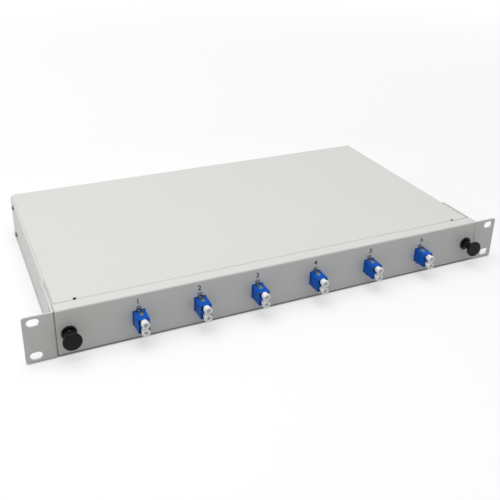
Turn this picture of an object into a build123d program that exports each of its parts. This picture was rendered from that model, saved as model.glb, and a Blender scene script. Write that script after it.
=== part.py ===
from build123d import *

import os
from math import hypot, sqrt

# Pull-out fibre splice box, one rack unit high, in millimetres.
# Axes: +X to the right seen from the front, +Y into the rack, +Z up.
# Origin: centre of the four rack slots, in the rear face of the two ears.

# Rack interface
RACK_WIDTH = 482.6
SLOT_INSET = 8.75
SLOT_PITCH_Z = 31.75
SLOT_LENGTH = 10.3
SLOT_WIDTH = 7.0
UNIT_HEIGHT = 44.2

# Ear brackets
EAR_WIDTH = 25.9
EAR_HEIGHT = 43.7
EAR_THICK = 1.5
EAR_BEND = 0.5
EAR_DEPTH = 56.0
EAR_TOP_RADIUS = 2.5
EAR_FOOT_RADIUS = 3.0
EAR_SCREW_Y = (14.0, 49.0)
EAR_SCREW_Z = 15.2
EAR_SINK_LAND = 0.1

# Housing
HOUSING_DEPTH = 250.0
SHELL_THICK = 1.2
SHELL_BEND = 0.8
SHELL_RETURN = 8.0
COVER_THICK = 1.5
COVER_BEND = 0.6
COVER_FRONT_LIP = 5.0
COVER_REAR_LIP = 10.0
COVER_SCREW_INSET = 35.4
NOTCH_INSET = 19.7
NOTCH_WIDTH = 2.7
NOTCH_DEPTH = 3.5
REAR_FLANGE = 26.0
SIDE_SCREW_INSET = 22.5
SIDE_SCREW_Z = 16.0

# Drawer front and tray
PANEL_THICK = 1.5
PANEL_BEND = 0.1
PANEL_INSET = 0.5
PANEL_FLOOR_GAP = 0.8
TOP_FLANGE = 11.7
BOTTOM_FLANGE = 14.0
SEAM_GAP = 0.6
SLIDE_GAP = 0.3
TRAY_SIDE_ROOM = 16.7
TRAY_THICK = 1.2
TRAY_BEND = 0.8
TRAY_WALL = 28.0
TRAY_REAR_ROOM = 12.3
TRAY_REAR_WALL = 8.0
TRAY_TAB = 12.0
TRAY_TAB_INSET = 3.0
TRAY_REAR_SILL = 2.0

# Guides that carry the drawer
GUIDE_THICK = 1.2
GUIDE_DEPTH = 11.7
GUIDE_HEIGHT = 9.0
GUIDE_TAIL = 2.0
DRAWER_TRAVEL = 150.0
RUNNER_REACH = 14.4
RUNNER_LEG = 8.8
PAD_LENGTH = 14.0
SHOE_LENGTH = 16.0
SHOE_OVERHANG = 2.0
SHOE_RADIUS = 1.0

# Pull latches
LATCH_INSET = 10.4
LATCH_Z = -0.7
GROMMET_FLANGE_D = 13.3
GROMMET_FLANGE = 1.8
GROMMET_D = 8.8
GROMMET_REACH = 9.0
GROMMET_SLOT = 1.0
GROMMET_CHAMFER = 0.8
GROMMET_TAPER = 0.9
SHAFT_D = 6.1
SHAFT_CLEARANCE = 0.05
NECK_D = 9.5
NECK_WAIST_D = 7.9
NECK_FOOT = 1.4
KNOB_D = 16.2
KNOB_THICK = 2.6
KNOB_RADIUS = 0.8
KNOB_REACH = 15.0
LATCH_PLATE_Y = 4.5
LATCH_PLATE_THICK = 1.5
LATCH_PLATE_GAP = 2.0
LATCH_HOLE_CLEARANCE = 0.3

# Adapters: two stacked ports each
THIRD_ADAPTER_X = -34.1
LEFT_PITCH = 55.7
RIGHT_PITCH = 60.1
PORT_LINE_Z = -0.9
BODY_WIDTH = 10.4
BODY_HEIGHT = 13.6
BODY_OUT = 14.5
BODY_BACK = 20.0
BODY_RADIUS = 0.6
CLIP_RECESS = 0.5
FLANGE_HEIGHT = 23.4
FLANGE_THICK = 2.4
FLANGE_HOLE_PITCH = 18.4
WINDOW_CLEARANCE = 0.4
PORT_PITCH = 7.5
PORT_HEIGHT = 4.8
PORT_LEFT = 4.2
PORT_RIGHT = 2.4
WEB_FRONT = -2.0
WEB_BACK = 6.0
BARREL_D = 3.6
BARREL_REACH = 2.0
SLEEVE_D = 2.5
SLEEVE_BORE = 1.3
SLEEVE_LENGTH = 11.0
CLIP_THICK = 0.4
CLIP_BEND = 0.05
CLIP_LIP = 0.5
CLIP_LIP_HEIGHT = 0.9
CLIP_ROOM = 0.2
CLIP_WIDTH = 3.4
CLIP_REACH = 9.0
STRAP_Y = 5.0
STRAP_WIDTH = 3.5
SCREW_D = 2.0
SCREW_HEAD_D = 4.0
SCREW_HEAD = 1.5
SCREW_NUT = 1.6
SCREW_PAST_NUT = 0.6
HOLE_CLEARANCE = 0.1

# Dust caps
CAP_D = 7.2
CAP_BODY_D = 6.2
CAP_RIM = 1.8
CAP_LENGTH = 5.7
CAP_BORE_D = 3.6
CAP_BORE = 4.5
STEM_D = 4.4
STEM_LENGTH = 6.0
CAP_GAP = 0.3

# Splice cassette
CASSETTE_X = 168.0
CASSETTE_Y = 110.0
CASSETTE_CENTRE_Y = 130.0
CASSETTE_RADIUS = 12.0
CASSETTE_FLOOR = 1.5
CASSETTE_WALL = 1.6
CASSETTE_HEIGHT = 10.0
CASSETTE_ENTRY = 12.0
DRUM_X = 46.0
DRUM_R = 22.0
LID_THICK = 1.2
LID_GAP = 0.1
LID_RIM = 2.0
SPLICE_SLOTS = 12
SPLICE_PITCH = 4.0
SPLICE_RIB = 1.4
SPLICE_RIB_HEIGHT = 5.0
SPLICE_BASE = 1.2
SPLICE_LENGTH = 24.0
HOLDER_Y = 26.0
CASSETTE_SCREW_X = 46.0

# Fibre and cable management
GUIDE_RING_R = 36.0
GUIDE_RING_ROOM = 4.0
GUIDE_RING_WALL = 1.8
GUIDE_RING_HEIGHT = 10.0
GUIDE_RING_FOOT = 4.0
GUIDE_RING_TAB = 6.0
GUIDE_RING_TAB_WIDTH = 8.0
GUIDE_RING_GAP = 6.0
RING_TABS = 4
CLIP_INSET = 27.0
CLIP_INNER_X = 64.0
CLIP_FRONT_Y = 52.0
CLIP_SIDE_Y = 70.0
SADDLE_WIDTH = 10.0
SADDLE_HEIGHT = 5.6
SADDLE_MOUTH = 2.0
SADDLE_WALL = 1.0
SADDLE_LENGTH = 8.0
CLAMP_INSET = 25.5
CLAMP_SPAN = 34.0
CLAMP_FOOT = 10.0
CLAMP_SCREW_INSET = 4.5
CLAMP_WIDTH = 10.0
CLAMP_RISE = 5.5
CLAMP_THICK = 2.0

# Cable entries in the rear panel
GLAND_INSET = 65.4
GLAND_PITCH = 46.0
ENTRY_Z = -2.0
ENTRY_D = 20.4
GLAND_AF = 24.0
GLAND_FLANGE = 5.0
GLAND_THREAD_D = 20.0
GLAND_THREAD = 9.0
GLAND_SPIGOT_D = 18.0
GLAND_SPIGOT = 9.0
GLAND_BORE_D = 12.6
GLAND_NUT_LENGTH = 15.0
GLAND_NUT_FLAT = 7.0
GLAND_NUT_SHOULDER = 11.0
GLAND_MOUTH_D = 13.2
GLAND_SEAL_LIP = 1.6
SEAL_SEAT = 2.0
SEAL_BORE_D = 10.0
LOCK_NUT = 4.0
BLANK_PLUG_HEAD = 3.0
BLANK_PLUG_DEPTH = 7.0
BLANK_PLUG_WALL = 2.0
BLANK_PLUG_FACE = 2.4

# Screws and nuts of the sheet metal
M4_D = 4.0
M4_HEAD_D = 8.0
M4_LENGTH = 8.7
M4_NUT_D = 6.4
M3_D = 3.0
M3_HEAD_D = 5.6
M3_HEAD = 2.2
M3_PAST_WALL = 1.0
NUT_THICK = 2.4
HEAD_EDGE = 0.55
HEAD_CROWN = 0.7

# Planes worked out from the sizes above
front = -EAR_THICK
rear = front + HOUSING_DEPTH
bottom = -UNIT_HEIGHT / 2
top = UNIT_HEIGHT / 2
seat = top - COVER_THICK
half_shell = RACK_WIDTH / 2 - EAR_WIDTH
half_cover = half_shell - SHELL_THICK - SHELL_BEND
inner_side = half_shell - SHELL_THICK
panel_back = front + PANEL_THICK
panel_floor = bottom + PANEL_FLOOR_GAP
tray_floor = panel_floor + PANEL_THICK
tray_top = tray_floor + TRAY_THICK
half_tray = inner_side - TRAY_SIDE_ROOM
latch_x = half_shell - LATCH_INSET
slot_x = RACK_WIDTH / 2 - SLOT_INSET
notch_x = half_shell - NOTCH_INSET
cover_front = front + TOP_FLANGE + SEAM_GAP
shell_front = front + BOTTOM_FLANGE + SEAM_GAP
pad_rear = shell_front + PAD_LENGTH
runner_end = pad_rear + SLIDE_GAP + DRAWER_TRAVEL + SHOE_LENGTH
guide_end = runner_end + GUIDE_TAIL
rear_face = rear - COVER_THICK
rear_inside = rear_face - SHELL_THICK
tray_rear = rear_inside - TRAY_REAR_ROOM
side_screw_y = rear - SIDE_SCREW_INSET
lip_screw_z = top - (COVER_REAR_LIP + COVER_THICK) / 2
lip_screw_x = [side * (half_shell - COVER_SCREW_INSET) for side in (-1, 0, 1)]
gland_x = half_shell - GLAND_INSET
plug_x = gland_x - GLAND_PITCH
clamp_y = tray_rear - CLAMP_INSET
adapter_x = [THIRD_ADAPTER_X - (2 - i) * LEFT_PITCH for i in range(3)]
adapter_x += [THIRD_ADAPTER_X + (i + 1) * RIGHT_PITCH for i in range(3)]
clamp_screw_x = [gland_x + s * (CLAMP_SPAN / 2 - CLAMP_SCREW_INSET) for s in (-1, 1)]
ring_reach = GUIDE_RING_R + GUIDE_RING_TAB
ring_x = half_tray - TRAY_THICK - ring_reach - GUIDE_RING_ROOM
ring_y = CASSETTE_CENTRE_Y
port_z = (PORT_LINE_Z + PORT_PITCH / 2, PORT_LINE_Z - PORT_PITCH / 2)


def save(name, solids):
    """Write one node: a solid, or a list of separate ones."""
    group = solids if isinstance(solids, list) else [solids]
    flat = [s for item in group for s in item.solids()]
    shape = Compound(children=flat) if len(flat) > 1 else flat[0]
    shape.label = name
    export_step(shape, f"parts/{name}.step")
    return shape


def block(x, y, z):
    """A box from three (low, high) pairs."""
    size = [high - low for low, high in (x, y, z)]
    return Pos(x[0], y[0], z[0]) * Box(*size, align=(Align.MIN, Align.MIN, Align.MIN))


def along_x(section, x0, x1):
    return extrude(Plane.YZ.offset(x0) * section, amount=x1 - x0)


def along_y(section, y0, y1):
    return extrude(Plane.XZ.offset(-y0) * section, amount=y0 - y1)


def along_z(section, z0, z1):
    return extrude(Plane.XY.offset(z0) * section, amount=z1 - z0)


def rod_y(x, z, diameter, y0, y1):
    """A round bar along Y."""
    return along_y(Pos(x, z) * Circle(diameter / 2), y0, y1)


def rod_x(y, z, diameter, x0, x1):
    return along_x(Pos(y, z) * Circle(diameter / 2), x0, x1)


def rod_z(x, y, diameter, z0, z1):
    return along_z(Pos(x, y) * Circle(diameter / 2), z0, z1)


def hexagon(across_flats, turn=30):
    return RegularPolygon(across_flats / 2, 6, major_radius=False, rotation=turn)


def revolved_y(points, x, z):
    """Turn a (radius, y) outline about a line along Y through (x, z)."""
    outline = make_face(Polyline(*points, close=True))
    return Pos(x, 0, z) * revolve(outline, Axis.Y)


def folded(points, thickness, bend):
    """Cross-section of a folded sheet. The points run along one side of it,
    with the sheet on their left; bend is the inside radius of each fold."""
    steps = [(b[0] - a[0], b[1] - a[1]) for a, b in zip(points, points[1:])]
    steps = [(dx / hypot(dx, dy), dy / hypot(dx, dy)) for dx, dy in steps]
    normals = [(-dy, dx) for dx, dy in steps]
    far = [(points[0][0] + thickness * normals[0][0], points[0][1] + thickness * normals[0][1])]
    near_radii, far_radii = [], []
    for i in range(1, len(points) - 1):
        (ax, ay), (bx, by) = normals[i - 1], normals[i]
        share = thickness / (1 + ax * bx + ay * by)
        far.append((points[i][0] + share * (ax + bx), points[i][1] + share * (ay + by)))
        left_turn = steps[i - 1][0] * steps[i][1] - steps[i - 1][1] * steps[i][0] > 0
        near_radii.append(bend + thickness if left_turn else bend)
        far_radii.append(bend if left_turn else bend + thickness)
    far.append((points[-1][0] + thickness * normals[-1][0], points[-1][1] + thickness * normals[-1][1]))
    sides = FilletPolyline(*points, radius=near_radii) + FilletPolyline(*far, radius=far_radii)
    ends = Line(points[0], far[0]) + Line(points[-1], far[-1])
    return make_face(sides + ends)


def both_sides(part):
    """A right-hand piece and its mirror image on the left."""
    return {"right": part, "left": mirror(part, about=Plane.YZ)}


def pan_screw(diameter, head_d, head, length):
    """Pan-head screw with its seat at the origin, the head towards -Y and the shank towards +Y."""
    edge = head_d / 2
    shank = diameter / 2
    outline = [
        (0, -head), (edge * HEAD_CROWN, -head), (edge, -head * HEAD_EDGE), (edge, 0),
        (shank, 0), (shank, length), (0, length),
    ]
    return revolved_y(outline, 0, 0)


def m3_screw(length):
    return pan_screw(M3_D, M3_HEAD_D, M3_HEAD, length)


def screw_down(x, y, seat_z, length):
    """Small screw standing in a floor with its head on top."""
    return Pos(x, y, seat_z) * Rot(-90, 0, 0) * m3_screw(length)


# Base shell: floor, two side walls and the inward returns that the cover lies on
def make_base_shell():
    w = half_shell
    outline = [
        (-w + SHELL_RETURN, seat), (-w, seat), (-w, bottom),
        (w, bottom), (w, seat), (w - SHELL_RETURN, seat),
    ]
    wall_front = panel_back + SEAM_GAP
    shell = along_y(folded(outline, SHELL_THICK, SHELL_BEND), wall_front, rear_face)
    open_front = (wall_front - 1, shell_front)
    shell -= block((-w - 1, w + 1), open_front, (bottom - 1, tray_floor + SLIDE_GAP))
    shell -= block((-w - 1, w + 1), (wall_front - 1, cover_front), (seat - SLIDE_GAP - SHELL_BEND, top))
    shell -= block((-w - 1, w + 1), (rear_face - COVER_BEND, rear), (seat - COVER_BEND, top))
    for side in (-1, 1):
        inside = sorted((side * (w - SHELL_RETURN - 1), side * inner_side))
        shell -= block(inside, (wall_front - 1, cover_front), (seat - 2 * SHELL_THICK, top))
        reach = sorted((side * (inner_side - 1), side * (w + 1)))
        for y in EAR_SCREW_Y:
            shell -= rod_x(y, EAR_SCREW_Z, M4_D + 2 * HOLE_CLEARANCE, *reach)
        for z in (-SIDE_SCREW_Z, SIDE_SCREW_Z):
            shell -= rod_x(side_screw_y, z, M3_D + 2 * HOLE_CLEARANCE, *reach)
    return shell


# Top cover: plate with a rear lip, and a front lip between two relief notches
def make_top_cover():
    outline = [
        (rear, top - COVER_REAR_LIP), (rear, top),
        (cover_front, top), (cover_front, top - COVER_FRONT_LIP),
    ]
    cover = along_x(folded(outline, COVER_THICK, COVER_BEND), -half_cover, half_cover)
    beyond = notch_x + NOTCH_WIDTH / 2
    fold = COVER_THICK + COVER_BEND
    for side in (-1, 1):
        corner = sorted((side * (beyond - NOTCH_WIDTH), side * half_shell))
        cover -= block(corner, (cover_front - 1, cover_front + fold), (top - COVER_FRONT_LIP - 1, top + 1))
        edge = sorted((side * beyond, side * half_cover))
        cover += block(edge, (cover_front, cover_front + fold), (seat, top))
        notch = sorted((side * (beyond - NOTCH_WIDTH), side * beyond))
        cover -= block(notch, (cover_front - 1, cover_front + NOTCH_DEPTH), (seat - 1, top + 1))
    for x in lip_screw_x:
        cover -= rod_y(x, lip_screw_z, M3_D + 2 * HOLE_CLEARANCE, rear_face - 1, rear + 1)
    return cover


# Rear panel: stands between the side walls on forward flanges
def make_rear_panel():
    w = inner_side
    flange_front = rear_face - REAR_FLANGE
    outline = [(w, flange_front), (w, rear_face), (-w, rear_face), (-w, flange_front)]
    panel_floor_z = bottom + SHELL_THICK
    panel_top = seat - SHELL_THICK
    panel = along_z(folded(outline, SHELL_THICK, SHELL_BEND), panel_floor_z, panel_top)
    for side in (-1, 1):
        corner = sorted((side * (w - SHELL_THICK), side * (w + 1)))
        panel -= block(corner, (flange_front - 1, rear), (panel_floor_z - 1, panel_floor_z + SHELL_BEND))
        panel -= block(corner, (flange_front - 1, rear), (panel_top - SHELL_BEND, panel_top + 1))
        for x in (gland_x, plug_x):
            panel -= rod_y(side * x, ENTRY_Z, ENTRY_D, rear_inside - 1, rear_face + 1)
        reach = sorted((side * (w - SHELL_THICK - 1), side * (w + 1)))
        for z in (-SIDE_SCREW_Z, SIDE_SCREW_Z):
            panel -= rod_x(side_screw_y, z, M3_D + 2 * HOLE_CLEARANCE, *reach)
    for x in lip_screw_x:
        panel -= rod_y(x, lip_screw_z, M3_D + 2 * HOLE_CLEARANCE, rear_inside - 1, rear_face + 1)
    return panel


# Ear bracket: a leg on the side wall, folded outwards into the slotted rack ear
def make_ear_bracket():
    leg_end = front + EAR_DEPTH
    outline = [(half_shell, leg_end), (half_shell, front), (RACK_WIDTH / 2, front)]
    bracket = along_z(folded(outline, EAR_THICK, EAR_BEND), -EAR_HEIGHT / 2, EAR_HEIGHT / 2)
    ear = Pos(RACK_WIDTH / 4, 0) * Rectangle(RACK_WIDTH / 2, EAR_HEIGHT)
    ear = fillet(ear.vertices().group_by(Axis.X)[-1].sort_by(Axis.Y)[-1], EAR_TOP_RADIUS)
    ear = fillet(ear.vertices().group_by(Axis.X)[-1].sort_by(Axis.Y)[0], EAR_FOOT_RADIUS)
    bracket &= along_y(ear, front - 1, leg_end + 1)
    leg = Pos(front, 0) * Rectangle(2 * EAR_DEPTH, EAR_HEIGHT)
    leg = fillet(leg.vertices().group_by(Axis.X)[-1], EAR_TOP_RADIUS)
    bracket &= along_x(leg, half_shell - 1, RACK_WIDTH)
    slot = SlotOverall(SLOT_LENGTH, SLOT_WIDTH)
    for z in (-SLOT_PITCH_Z / 2, SLOT_PITCH_Z / 2):
        bracket -= along_y(Pos(slot_x, z) * slot, front - 1, 1)
    for y in EAR_SCREW_Y:
        bracket -= ear_screw(y, HOLE_CLEARANCE)
    return bracket


def ear_screw(y, clearance):
    """Countersunk screw through the bracket's leg, flush with its outer face."""
    face_x = half_shell + EAR_THICK
    sink_x = half_shell + EAR_SINK_LAND
    end_x = face_x - M4_LENGTH
    head = M4_HEAD_D / 2 + clearance
    shank = M4_D / 2 + clearance
    outline = [(face_x, 0), (face_x, head), (sink_x, shank), (end_x, shank), (end_x, 0)]
    turned = revolve(make_face(Polyline(*outline, close=True)), Axis.X)
    return Pos(0, y, EAR_SCREW_Z) * turned


def ear_nut(y):
    """Press nut behind the wall; the front one sits behind the latch plate's leg."""
    face = inner_side - (LATCH_PLATE_THICK if y == EAR_SCREW_Y[0] else 0)
    body = rod_x(y, EAR_SCREW_Z, M4_NUT_D, face - NUT_THICK, face)
    return body - rod_x(y, EAR_SCREW_Z, M4_D + 2 * HOLE_CLEARANCE, face - NUT_THICK - 1, face + 1)


# Latch plate: the fixed plate that the latch legs spread behind
def make_latch_plate():
    y0 = LATCH_PLATE_Y
    y1 = EAR_SCREW_Y[0] + M4_D * 2
    leg_z = (EAR_SCREW_Z - M4_D, seat - SHELL_THICK - SHELL_BEND - SLIDE_GAP)
    inner_edge = half_tray + LATCH_PLATE_GAP
    outline = [(inner_edge, y0), (inner_side, y0), (inner_side, y1)]
    plate = along_z(folded(outline, LATCH_PLATE_THICK, SHELL_BEND), *leg_z)
    fold = LATCH_PLATE_THICK + SHELL_BEND
    low = LATCH_Z - GROMMET_D
    web = (inner_edge, inner_side - fold)
    plate += block(web, (y0, y0 + LATCH_PLATE_THICK), (low, leg_z[0]))
    plate -= rod_y(latch_x, LATCH_Z, GROMMET_D + 2 * LATCH_HOLE_CLEARANCE, y0 - 1, y0 + 5)
    plate -= rod_x(EAR_SCREW_Y[0], EAR_SCREW_Z, M4_D + 2 * HOLE_CLEARANCE, inner_side - 3, inner_side + 1)
    return plate


# Guide channel on the side wall, just above the floor
guide_low = bottom + SHELL_THICK + SLIDE_GAP
guide_top = guide_low + GUIDE_HEIGHT
guide_mouth = inner_side - GUIDE_DEPTH
runner_z = (guide_low + guide_top) / 2


def make_guide_channel():
    outline = [
        (guide_mouth, guide_low), (inner_side, guide_low),
        (inner_side, guide_top), (guide_mouth, guide_top),
    ]
    return along_y(folded(outline, GUIDE_THICK, SHELL_BEND), shell_front, guide_end)


# Runner: a steel angle on the tray's side that slides in the guide channel
def make_runner():
    leg_low = runner_z - GUIDE_THICK / 2
    outline = [(half_tray, leg_low + RUNNER_LEG), (half_tray, leg_low), (half_tray + RUNNER_REACH, leg_low)]
    return along_y(folded(outline, GUIDE_THICK, SHELL_BEND), panel_back + SEAM_GAP, runner_end)


def make_pads():
    """Nylon pads above and below the runner at the channel's front end."""
    x = (guide_mouth + SLIDE_GAP, inner_side - GUIDE_THICK - SHELL_BEND)
    y = (shell_front, pad_rear)
    runner_half = GUIDE_THICK / 2 + SLIDE_GAP
    upper = block(x, y, (runner_z + runner_half, guide_top - GUIDE_THICK))
    lower = block(x, y, (guide_low + GUIDE_THICK, runner_z - runner_half))
    return [upper, lower]


def make_shoe():
    """Nylon shoe pushed over the runner's rear end, which stops on the pads."""
    x = (guide_mouth + SLIDE_GAP, inner_side - GUIDE_THICK - SLIDE_GAP)
    y = (runner_end - SHOE_LENGTH, runner_end + SHOE_OVERHANG)
    z = (guide_low + GUIDE_THICK + SLIDE_GAP, guide_top - GUIDE_THICK - SLIDE_GAP)
    shoe = block(x, y, z)
    shoe = fillet(shoe.edges().filter_by(Axis.X), SHOE_RADIUS)
    runner_half = GUIDE_THICK / 2
    reach = (x[0] - 1, half_tray + RUNNER_REACH)
    return shoe - block(reach, (y[0] - 1, runner_end), (runner_z - runner_half, runner_z + runner_half))


# Front panel: folded top and bottom, with windows for the adapters and holes for the latches
def make_front_panel():
    half = half_shell - PANEL_INSET
    outline = [
        (front + TOP_FLANGE, top), (front, top),
        (front, panel_floor), (front + BOTTOM_FLANGE, panel_floor),
    ]
    panel = along_x(folded(outline, PANEL_THICK, PANEL_BEND), -half, half)
    window = Rectangle(BODY_WIDTH + 2 * WINDOW_CLEARANCE, BODY_HEIGHT + 2 * WINDOW_CLEARANCE)
    through = (front - 1, panel_back + 1)
    for x in adapter_x:
        panel -= along_y(Pos(x, PORT_LINE_Z) * window, *through)
        for dz in (-FLANGE_HOLE_PITCH / 2, FLANGE_HOLE_PITCH / 2):
            panel -= rod_y(x, PORT_LINE_Z + dz, SCREW_D + 2 * HOLE_CLEARANCE, *through)
    for x in (-latch_x, latch_x):
        panel -= rod_y(x, LATCH_Z, GROMMET_D + 2 * HOLE_CLEARANCE, *through)
    return panel


def cassette_hole(side, z0, z1):
    return rod_z(side * CASSETTE_SCREW_X, CASSETTE_CENTRE_Y, M3_D + 2 * HOLE_CLEARANCE, z0, z1)


# Drawer tray: floor, side walls, a low rear wall and two tabs against the front panel
def make_tray():
    w = half_tray
    wall_top = tray_floor + TRAY_WALL
    outline = [(-w, wall_top), (-w, tray_floor), (w, tray_floor), (w, wall_top)]
    tray_front = panel_back + PANEL_BEND
    tray = along_y(folded(outline, TRAY_THICK, TRAY_BEND), tray_front, tray_rear)
    inner = w - TRAY_THICK
    rear_wall = (tray_rear - TRAY_THICK, tray_rear)
    tray += block((-inner, inner), rear_wall, (tray_floor, tray_top + TRAY_REAR_WALL))
    for side in (-1, 1):
        tab_x = sorted((side * (w - TRAY_TAB), side * w))
        tab_z = (tray_top + TRAY_TAB_INSET, wall_top - TRAY_TAB_INSET)
        tray += block(tab_x, (panel_back, panel_back + TRAY_THICK), tab_z)
        gap = sorted((side * (gland_x - CLAMP_SPAN / 2), side * (gland_x + CLAMP_SPAN / 2)))
        gap_y = (tray_rear - 2 * TRAY_THICK, tray_rear + 1)
        tray -= block(gap, gap_y, (tray_top + TRAY_REAR_SILL, wall_top))
        for x in clamp_screw_x:
            tray -= rod_z(side * x, clamp_y, M3_D + 2 * HOLE_CLEARANCE, tray_floor - 1, tray_top + 1)
        tray -= cassette_hole(side, tray_floor - 1, tray_top + 1)
    return tray


# Latch: a split grommet in the front panel and the plunger that spreads it
def make_grommet():
    bore = SHAFT_D / 2 + SHAFT_CLEARANCE
    lip = front - GROMMET_FLANGE
    edge = GROMMET_FLANGE_D / 2
    barrel = GROMMET_D / 2
    outline = [
        (bore, lip), (edge - GROMMET_CHAMFER, lip), (edge, lip + GROMMET_CHAMFER), (edge, front),
        (barrel, front), (barrel, GROMMET_REACH - 2 * GROMMET_TAPER),
        (barrel - GROMMET_TAPER, GROMMET_REACH), (bore, GROMMET_REACH),
    ]
    grommet = revolved_y(outline, latch_x, LATCH_Z)
    slot_y = (panel_back + 1, GROMMET_REACH + 1)
    half_slot = GROMMET_SLOT / 2
    wide = (latch_x - barrel - 1, latch_x + barrel + 1)
    tall = (LATCH_Z - barrel - 1, LATCH_Z + barrel + 1)
    grommet -= block(wide, slot_y, (LATCH_Z - half_slot, LATCH_Z + half_slot))
    grommet -= block((latch_x - half_slot, latch_x + half_slot), slot_y, tall)
    return grommet


def make_plunger():
    shaft = SHAFT_D / 2
    neck = NECK_D / 2
    waist = NECK_WAIST_D / 2
    head = KNOB_D / 2
    face = front - KNOB_REACH
    under = face + KNOB_THICK
    base = front - GROMMET_FLANGE - SLIDE_GAP
    tip = GROMMET_REACH - GROMMET_TAPER
    step = neck - waist
    round_in = KNOB_RADIUS * (1 - sqrt(0.5))
    outline = [
        (0, face), (head - KNOB_RADIUS, face), (head - round_in, face + round_in),
        (head, face + KNOB_RADIUS), (head, under - KNOB_RADIUS), (head - round_in, under - round_in),
        (head - KNOB_RADIUS, under),
        (waist, under), (waist, base - NECK_FOOT - step), (neck, base - NECK_FOOT), (neck, base),
        (shaft, base), (shaft, tip - shaft / 2), (shaft / 2, tip), (0, tip),
    ]
    return revolved_y(outline, latch_x, LATCH_Z)


# Adapter: moulded body with a screwed flange, two ports each end and the sleeve barrels between
def make_adapter(x):
    z = PORT_LINE_Z
    face = front - BODY_OUT
    back_height = BODY_HEIGHT - 2 * CLIP_RECESS
    body = along_y(Pos(x, z) * RectangleRounded(BODY_WIDTH, BODY_HEIGHT, BODY_RADIUS), face, panel_back)
    flange = Rectangle(BODY_WIDTH, FLANGE_HEIGHT)
    body += along_y(Pos(x, z) * flange, panel_back, panel_back + FLANGE_THICK)
    body += along_y(Pos(x, z) * Rectangle(BODY_WIDTH, back_height), panel_back, BODY_BACK)
    groove = CLIP_WIDTH / 2 + CLIP_ROOM
    groove_y = (front - CLIP_REACH - CLIP_ROOM, STRAP_Y)
    for way in (-1, 1):
        level = sorted((z + way * back_height / 2, z + way * BODY_HEIGHT / 2))
        body -= block((x - groove, x + groove), groove_y, level)
        hole_z = z + way * FLANGE_HOLE_PITCH / 2
        body -= rod_y(x, hole_z, SCREW_D + 2 * HOLE_CLEARANCE, panel_back, panel_back + FLANGE_THICK)
    for level in port_z:
        port = ((x - PORT_LEFT, x + PORT_RIGHT), (level - PORT_HEIGHT / 2, level + PORT_HEIGHT / 2))
        body -= block(port[0], (face - 1, WEB_FRONT), port[1])
        body -= block(port[0], (WEB_BACK, BODY_BACK + 1), port[1])
        body += rod_y(x, level, BARREL_D, WEB_FRONT - BARREL_REACH, WEB_BACK + BARREL_REACH)
        body -= rod_y(x, level, SLEEVE_D + 2 * SHAFT_CLEARANCE, face, BODY_BACK)
    return body


def make_sleeve(x, level):
    """Split ceramic sleeve that lines two ferrules up."""
    middle = (WEB_FRONT + WEB_BACK) / 2
    ends = (middle - SLEEVE_LENGTH / 2, middle + SLEEVE_LENGTH / 2)
    return rod_y(x, level, SLEEVE_D, *ends) - rod_y(x, level, SLEEVE_BORE, ends[0] - 1, ends[1] + 1)


def make_clip(x):
    """Spring clip: a strap round the back of the body with a tongue above and below."""
    z = PORT_LINE_Z
    level = BODY_HEIGHT / 2 - CLIP_RECESS
    left = x - BODY_WIDTH / 2
    edge = (x - CLIP_WIDTH / 2, x + CLIP_WIDTH / 2)
    outline = [(edge[1], z - level), (left, z - level), (left, z + level), (edge[1], z + level)]
    clip = along_y(folded(outline, CLIP_THICK, CLIP_BEND), STRAP_Y, STRAP_Y + STRAP_WIDTH)
    tip = front - CLIP_REACH
    for way in (-1, 1):
        flat = sorted((z + way * level, z + way * (level + CLIP_THICK)))
        clip += block(edge, (tip, STRAP_Y), flat)
        lip = sorted((z + way * level, z + way * (level + CLIP_LIP_HEIGHT)))
        clip += block(edge, (tip, tip + CLIP_LIP), lip)
    return clip


def adapter_nut(x, z):
    y = panel_back + FLANGE_THICK
    nut = along_y(Pos(x, z) * hexagon(2 * SCREW_D, turn=0), y, y + SCREW_NUT)
    return nut - rod_y(x, z, SCREW_D + 2 * SHAFT_CLEARANCE, y - 1, y + 3)


# Dust cap: a round head with a blind bore and a stem that plugs the port
def make_dust_cap(x, z, port_face, way):
    """way is -1 on the front ports and 1 on the rear ones."""
    seat_y = port_face + way * CAP_GAP
    face_y = seat_y + way * CAP_LENGTH
    bore_y = face_y - way * CAP_BORE
    edge = CAP_D / 2
    bore = CAP_BORE_D / 2
    stem = STEM_D / 2
    neck = CAP_BODY_D / 2
    rim_y = face_y - way * CAP_RIM
    end_y = port_face - way * STEM_LENGTH
    outline = [
        (0, bore_y), (bore, bore_y), (bore, face_y), (edge, face_y), (edge, rim_y),
        (neck, rim_y), (neck, seat_y), (stem, seat_y), (stem, end_y), (0, end_y),
    ]
    return revolved_y(outline, x, z)


# Splice cassette: shallow moulded tray with two drums and a comb for the splices
cassette_low = tray_top
cassette_deck = cassette_low + CASSETTE_FLOOR
cassette_rim = cassette_deck + CASSETTE_HEIGHT


def cassette_outline(inset):
    size = (CASSETTE_X - 2 * inset, CASSETTE_Y - 2 * inset)
    return Pos(0, CASSETTE_CENTRE_Y) * RectangleRounded(*size, CASSETTE_RADIUS - inset)


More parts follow.
